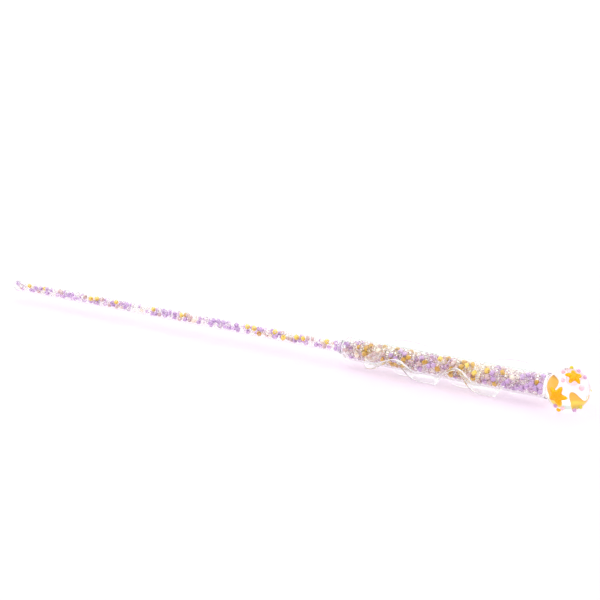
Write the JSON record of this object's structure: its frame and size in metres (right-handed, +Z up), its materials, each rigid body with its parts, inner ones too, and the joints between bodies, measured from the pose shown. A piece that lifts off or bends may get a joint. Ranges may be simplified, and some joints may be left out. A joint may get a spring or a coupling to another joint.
{
  "type": "glass magic wand",
  "caption": "Slim clear glass wand filled with coloured beads, with a wider bead-filled handle wrapped in wavy glass trails and a star-studded glass ball stopper at its end.",
  "frame": {"origin": "middle of the wand's bounding box, on the table it lies on", "axes": "+X along the wand from the tip towards the ball, +Y away from the viewer's side, +Z up from the table"},
  "size_m": [0.4004, 0.023, 0.022],
  "materials": {
    "clear_glass": "clear, fire-polished",
    "bead_violet": "glossy transparent seed beads",
    "bead_clear": "glossy clear seed beads",
    "bead_yellow": "glossy transparent seed beads",
    "bead_amber": "glossy transparent seed beads",
    "bead_mauve": "glossy smoky seed beads",
    "star_gold": "raised opaque gold-yellow glass",
    "dot_lime": "raised opaque glass dot",
    "dot_purple": "raised opaque glass dot",
    "dot_orange": "raised opaque glass dot",
    "dot_pink": "raised opaque glass dot"
  },
  "bodies": {
    "wand": {"shaft_tube": "clear_glass", "shaft_weld": "clear_glass", "handle_tube": "clear_glass", "trail_front": "clear_glass", "trail_back": "clear_glass", "trail_under": "clear_glass", "shaft_beads_01_violet": "bead_violet", "shaft_beads_02_clear": "bead_clear", "shaft_beads_03_amber": "bead_amber", "shaft_beads_04_violet": "bead_violet", "shaft_beads_05_yellow": "bead_yellow", "shaft_beads_06_mauve": "bead_mauve", "shaft_beads_07_violet": "bead_violet", "shaft_beads_08_clear": "bead_clear", "shaft_beads_09_violet": "bead_violet", "shaft_beads_10_amber": "bead_amber", "shaft_beads_11_violet": "bead_violet", "shaft_beads_12_yellow": "bead_yellow", "shaft_beads_13_amber": "bead_amber", "shaft_beads_14_violet": "bead_violet", "shaft_beads_15_amber": "bead_amber", "shaft_beads_16_violet": "bead_violet", "handle_beads_01_violet": "bead_violet", "handle_beads_02_amber": "bead_amber", "handle_beads_03_mauve": "bead_mauve", "handle_beads_04_violet": "bead_violet", "handle_beads_05_amber": "bead_amber", "handle_beads_06_clear": "bead_clear", "handle_beads_07_violet": "bead_violet"},
    "stopper": {"stopper_plug": "clear_glass", "ball": "clear_glass", "gold_star_1": "star_gold", "gold_star_2": "star_gold", "gold_star_3": "star_gold", "gold_star_4": "star_gold", "lime_dot_1": "dot_lime", "lime_dot_2": "dot_lime", "lime_dot_3": "dot_lime", "lime_dot_4": "dot_lime", "purple_dot_1": "dot_purple", "purple_dot_2": "dot_purple", "purple_dot_3": "dot_purple", "purple_dot_4": "dot_purple", "purple_dot_5": "dot_purple", "purple_dot_6": "dot_purple", "orange_dot_1": "dot_orange", "orange_dot_2": "dot_orange", "orange_dot_3": "dot_orange", "pink_dot_1": "dot_pink", "pink_dot_2": "dot_pink", "pink_dot_3": "dot_pink", "pink_dot_4": "dot_pink", "pink_dot_5": "dot_pink", "pink_dot_6": "dot_pink"}
  },
  "joints": [
    {"name": "stopper_pull", "type": "slide", "parent": "wand", "child": "stopper", "axis": [1, 0, 0], "range_m": [0, 0.02]}
  ]
}
